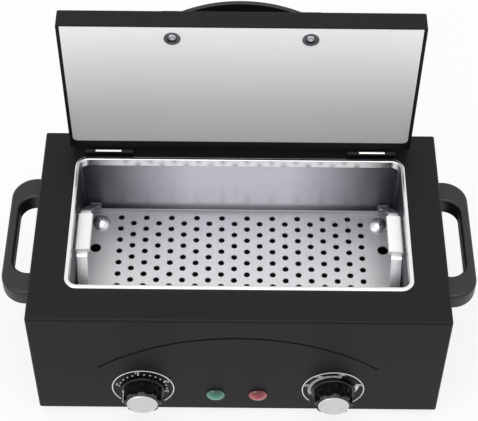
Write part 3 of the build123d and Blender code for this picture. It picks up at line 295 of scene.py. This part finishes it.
# Pieces with their own copy of a metal: the tub and the tray carry painted shade, the cup washers' chrome is
# painted darker as shade, and the dome nuts are turned chrome
ownFinishes = {
    "chamber_tub": rolledSheet("chamberStainless", base="#f2f2f5", dark="#ececf0", roughness=0.36,
                               width=0.52, length=83.0, paintedShading=tubShade, metallic=0.6),
    "perforated_tray": rolledSheet("trayStainless", base="#f6f6f7", dark="#e9e9ec", roughness=0.36,
                                   width=0.52, length=83.0, runs="Y", paintedShading=trayShade, metallic=0.55),
    "lid_cup_washers": polishedMetal("paintedShadeChrome", base="#8d8d90", roughness=0.14),
    "tray_dome_nuts": turnedMetal("turnedChrome", base="#f0f0f2", dark="#d8d8dc", roughness=0.2, axis="Z"),
}
for name, finish in ownFinishes.items():
    nodes[name].data.materials.clear()
    nodes[name].data.materials.append(finish)
print("materials:", len(finishes) + len(ownFinishes))


# Numbers beside the dials' marks: plain upright figures in white ink, placed across and up from each
# dial's centre. All sizes are in mm
numbers = {
    "height": 2.9,
    "sizePerHeight": 1.35,   # the font's size over the height of its figures
    "ink": 0.12,             # how thick the ink stands on the panel
    "weld": 0.002,           # points nearer than this become one
    "timer": [("0", -19.7, 4.8), ("15", -4.1, 20.6), ("30", 18.2, 9.3), ("45", 18.0, -4.0)],
    "thermostat": [("50", -20.2, 5.6), ("100", -11.6, 17.6), ("150", 5.6, 20.7), ("200", 19.6, 6.8)],
}


def makeFigures(name, centre, places):
    shape = bmesh.new()
    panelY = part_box("dial_print")[1][1]
    upright = Matrix.Rotation(radians(90), 4, "X")
    for text, across, up in places:
        curve = bpy.data.curves.new(name, "FONT")
        curve.body = text
        curve.size = numbers["height"] * numbers["sizePerHeight"] * mm
        curve.align_x, curve.align_y = "CENTER", "CENTER"
        curve.resolution_u = 3
        curve.extrude = numbers["ink"] / 2 * mm
        holder = bpy.data.objects.new(name, curve)
        figure = bpy.data.meshes.new_from_object(holder)
        where = (centre[0] + across * mm, panelY - numbers["ink"] / 2 * mm, centre[2] + up * mm)
        figure.transform(Matrix.Translation(where) @ upright)
        shape.from_mesh(figure)
        bpy.data.objects.remove(holder)
        bpy.data.curves.remove(curve)
        bpy.data.meshes.remove(figure)
    bmesh.ops.remove_doubles(shape, verts=shape.verts, dist=numbers["weld"] * mm)
    mesh = bpy.data.meshes.new(name)
    shape.to_mesh(mesh)
    shape.free()
    mesh.materials.append(finishes["white_ink"])
    figures = bpy.data.objects.new(name, mesh)
    bpy.context.scene.collection.objects.link(figures)
    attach(figures, "cabinet")


makeFigures("timer_figures", pivots["timer_turn"], numbers["timer"])
makeFigures("thermostat_figures", pivots["thermostat_turn"], numbers["thermostat"])
print("figures made")


# Studio: white floor and backdrop, an even sky and two soft lamps. Sizes and places are in metres
studio = {
    "floorSize": 12.0,
    "floorPaper": "#f4f4f4",
    "floorGlow": 0.8,          # how far the floor that the camera sees goes to plain white
    "skyOnObject": 0.62,
    "lamps": [
        {"name": "overhead", "place": (0.0, -0.3, 2.0), "size": 1.8, "watts": 22.0},
        {"name": "frontLeft", "place": (-1.4, -1.5, 1.1), "size": 1.0, "watts": 9.0},
    ],
}


def makeFloor(size, paperColour, glow):
    mesh = bpy.data.meshes.new("floor")
    shape = bmesh.new()
    bmesh.ops.create_grid(shape, x_segments=1, y_segments=1, size=size / 2)
    shape.to_mesh(mesh)
    shape.free()
    floor = bpy.data.objects.new("floor", mesh)
    bpy.context.scene.collection.objects.link(floor)
    material, _ = startMaterial("floorPaper")
    path = addNode(material, "ShaderNodeLightPath")
    mirrored = addNode(material, "ShaderNodeMath", {
        0: path.outputs["Is Glossy Ray"], 1: path.outputs["Is Transmission Ray"]}, operation="MAXIMUM")
    direct = addNode(material, "ShaderNodeMath", {0: path.outputs["Is Camera Ray"], 1: glow},
                     operation="MULTIPLY")
    share = addNode(material, "ShaderNodeMath", {0: mirrored.outputs[0], 1: direct.outputs[0]},
                    operation="MAXIMUM")
    paper = addNode(material, "ShaderNodeBsdfDiffuse", {"Color": linear(paperColour)})
    white = addNode(material, "ShaderNodeEmission", {"Color": linear("#ffffff"), "Strength": 1.0})
    mix = addNode(material, "ShaderNodeMixShader", {
        0: share.outputs[0], 1: paper.outputs[0], 2: white.outputs[0]})
    mesh.materials.append(closeMaterial(material, mix))


def makeSky(strength):
    world = bpy.data.worlds.new("studioSky")
    bpy.context.scene.world = world
    world.use_nodes = True
    world.node_tree.nodes.clear()
    path = addNode(world, "ShaderNodeLightPath")
    opaque = addNode(world, "ShaderNodeMath", {
        0: path.outputs["Is Glossy Ray"], 1: path.outputs["Is Camera Ray"]}, operation="MAXIMUM")
    seen = addNode(world, "ShaderNodeMath", {
        0: path.outputs["Is Transmission Ray"], 1: opaque.outputs[0]}, operation="MAXIMUM")
    power = addNode(world, "ShaderNodeMapRange", {
        "Value": seen.outputs[0], "To Min": strength, "To Max": 1.0})
    sky = addNode(world, "ShaderNodeBackground", {
        "Color": linear("#ffffff"), "Strength": power.outputs["Result"]})
    addNode(world, "ShaderNodeOutputWorld", {"Surface": sky.outputs[0]})


def makeLamp(name, place, size, watts):
    lamp = bpy.data.lights.new(name, "AREA")
    lamp.size = size
    lamp.energy = watts
    holder = bpy.data.objects.new(name, lamp)
    holder.location = place
    holder.rotation_euler = (-Vector(place)).to_track_quat("-Z", "Y").to_euler()
    bpy.context.scene.collection.objects.link(holder)


makeFloor(studio["floorSize"], studio["floorPaper"], studio["floorGlow"])
makeSky(studio["skyOnObject"])
for lamp in studio["lamps"]:
    makeLamp(**lamp)
print("studio ready")


# Camera: where the photograph was taken from, measured against the casing's corners
camera = {
    "place": (-1.8 * mm, -693.0 * mm, 989.3 * mm),
    "yaw": 0.1026,           # degrees, as are down and roll
    "down": 50.613,
    "roll": 0.610,
    "lens": 110.1,           # mm, as is the sensor's width
    "sensor": 36.0,
    "clip": (0.01, 50.0),    # metres
}


def makeCamera(place, yaw, down, roll, lens, sensor, clip):
    yaw, down, roll = radians(yaw), radians(down), radians(roll)
    ahead = Vector((sin(yaw) * cos(down), cos(yaw) * cos(down), -sin(down)))
    level = Vector((cos(yaw), -sin(yaw), 0))
    upright = level.cross(ahead)
    right = cos(roll) * level + sin(roll) * upright
    top = -sin(roll) * level + cos(roll) * upright
    data = bpy.data.cameras.new("photoCamera")
    data.sensor_width = sensor
    data.lens = lens
    data.clip_start, data.clip_end = clip
    holder = bpy.data.objects.new("photoCamera", data)
    holder.matrix_world = Matrix.Translation(place) @ Matrix((right, top, -ahead)).transposed().to_4x4()
    bpy.context.scene.collection.objects.link(holder)
    bpy.context.scene.camera = holder


makeCamera(**camera)
bpy.context.scene.view_settings.view_transform = "Standard"
print("camera set")
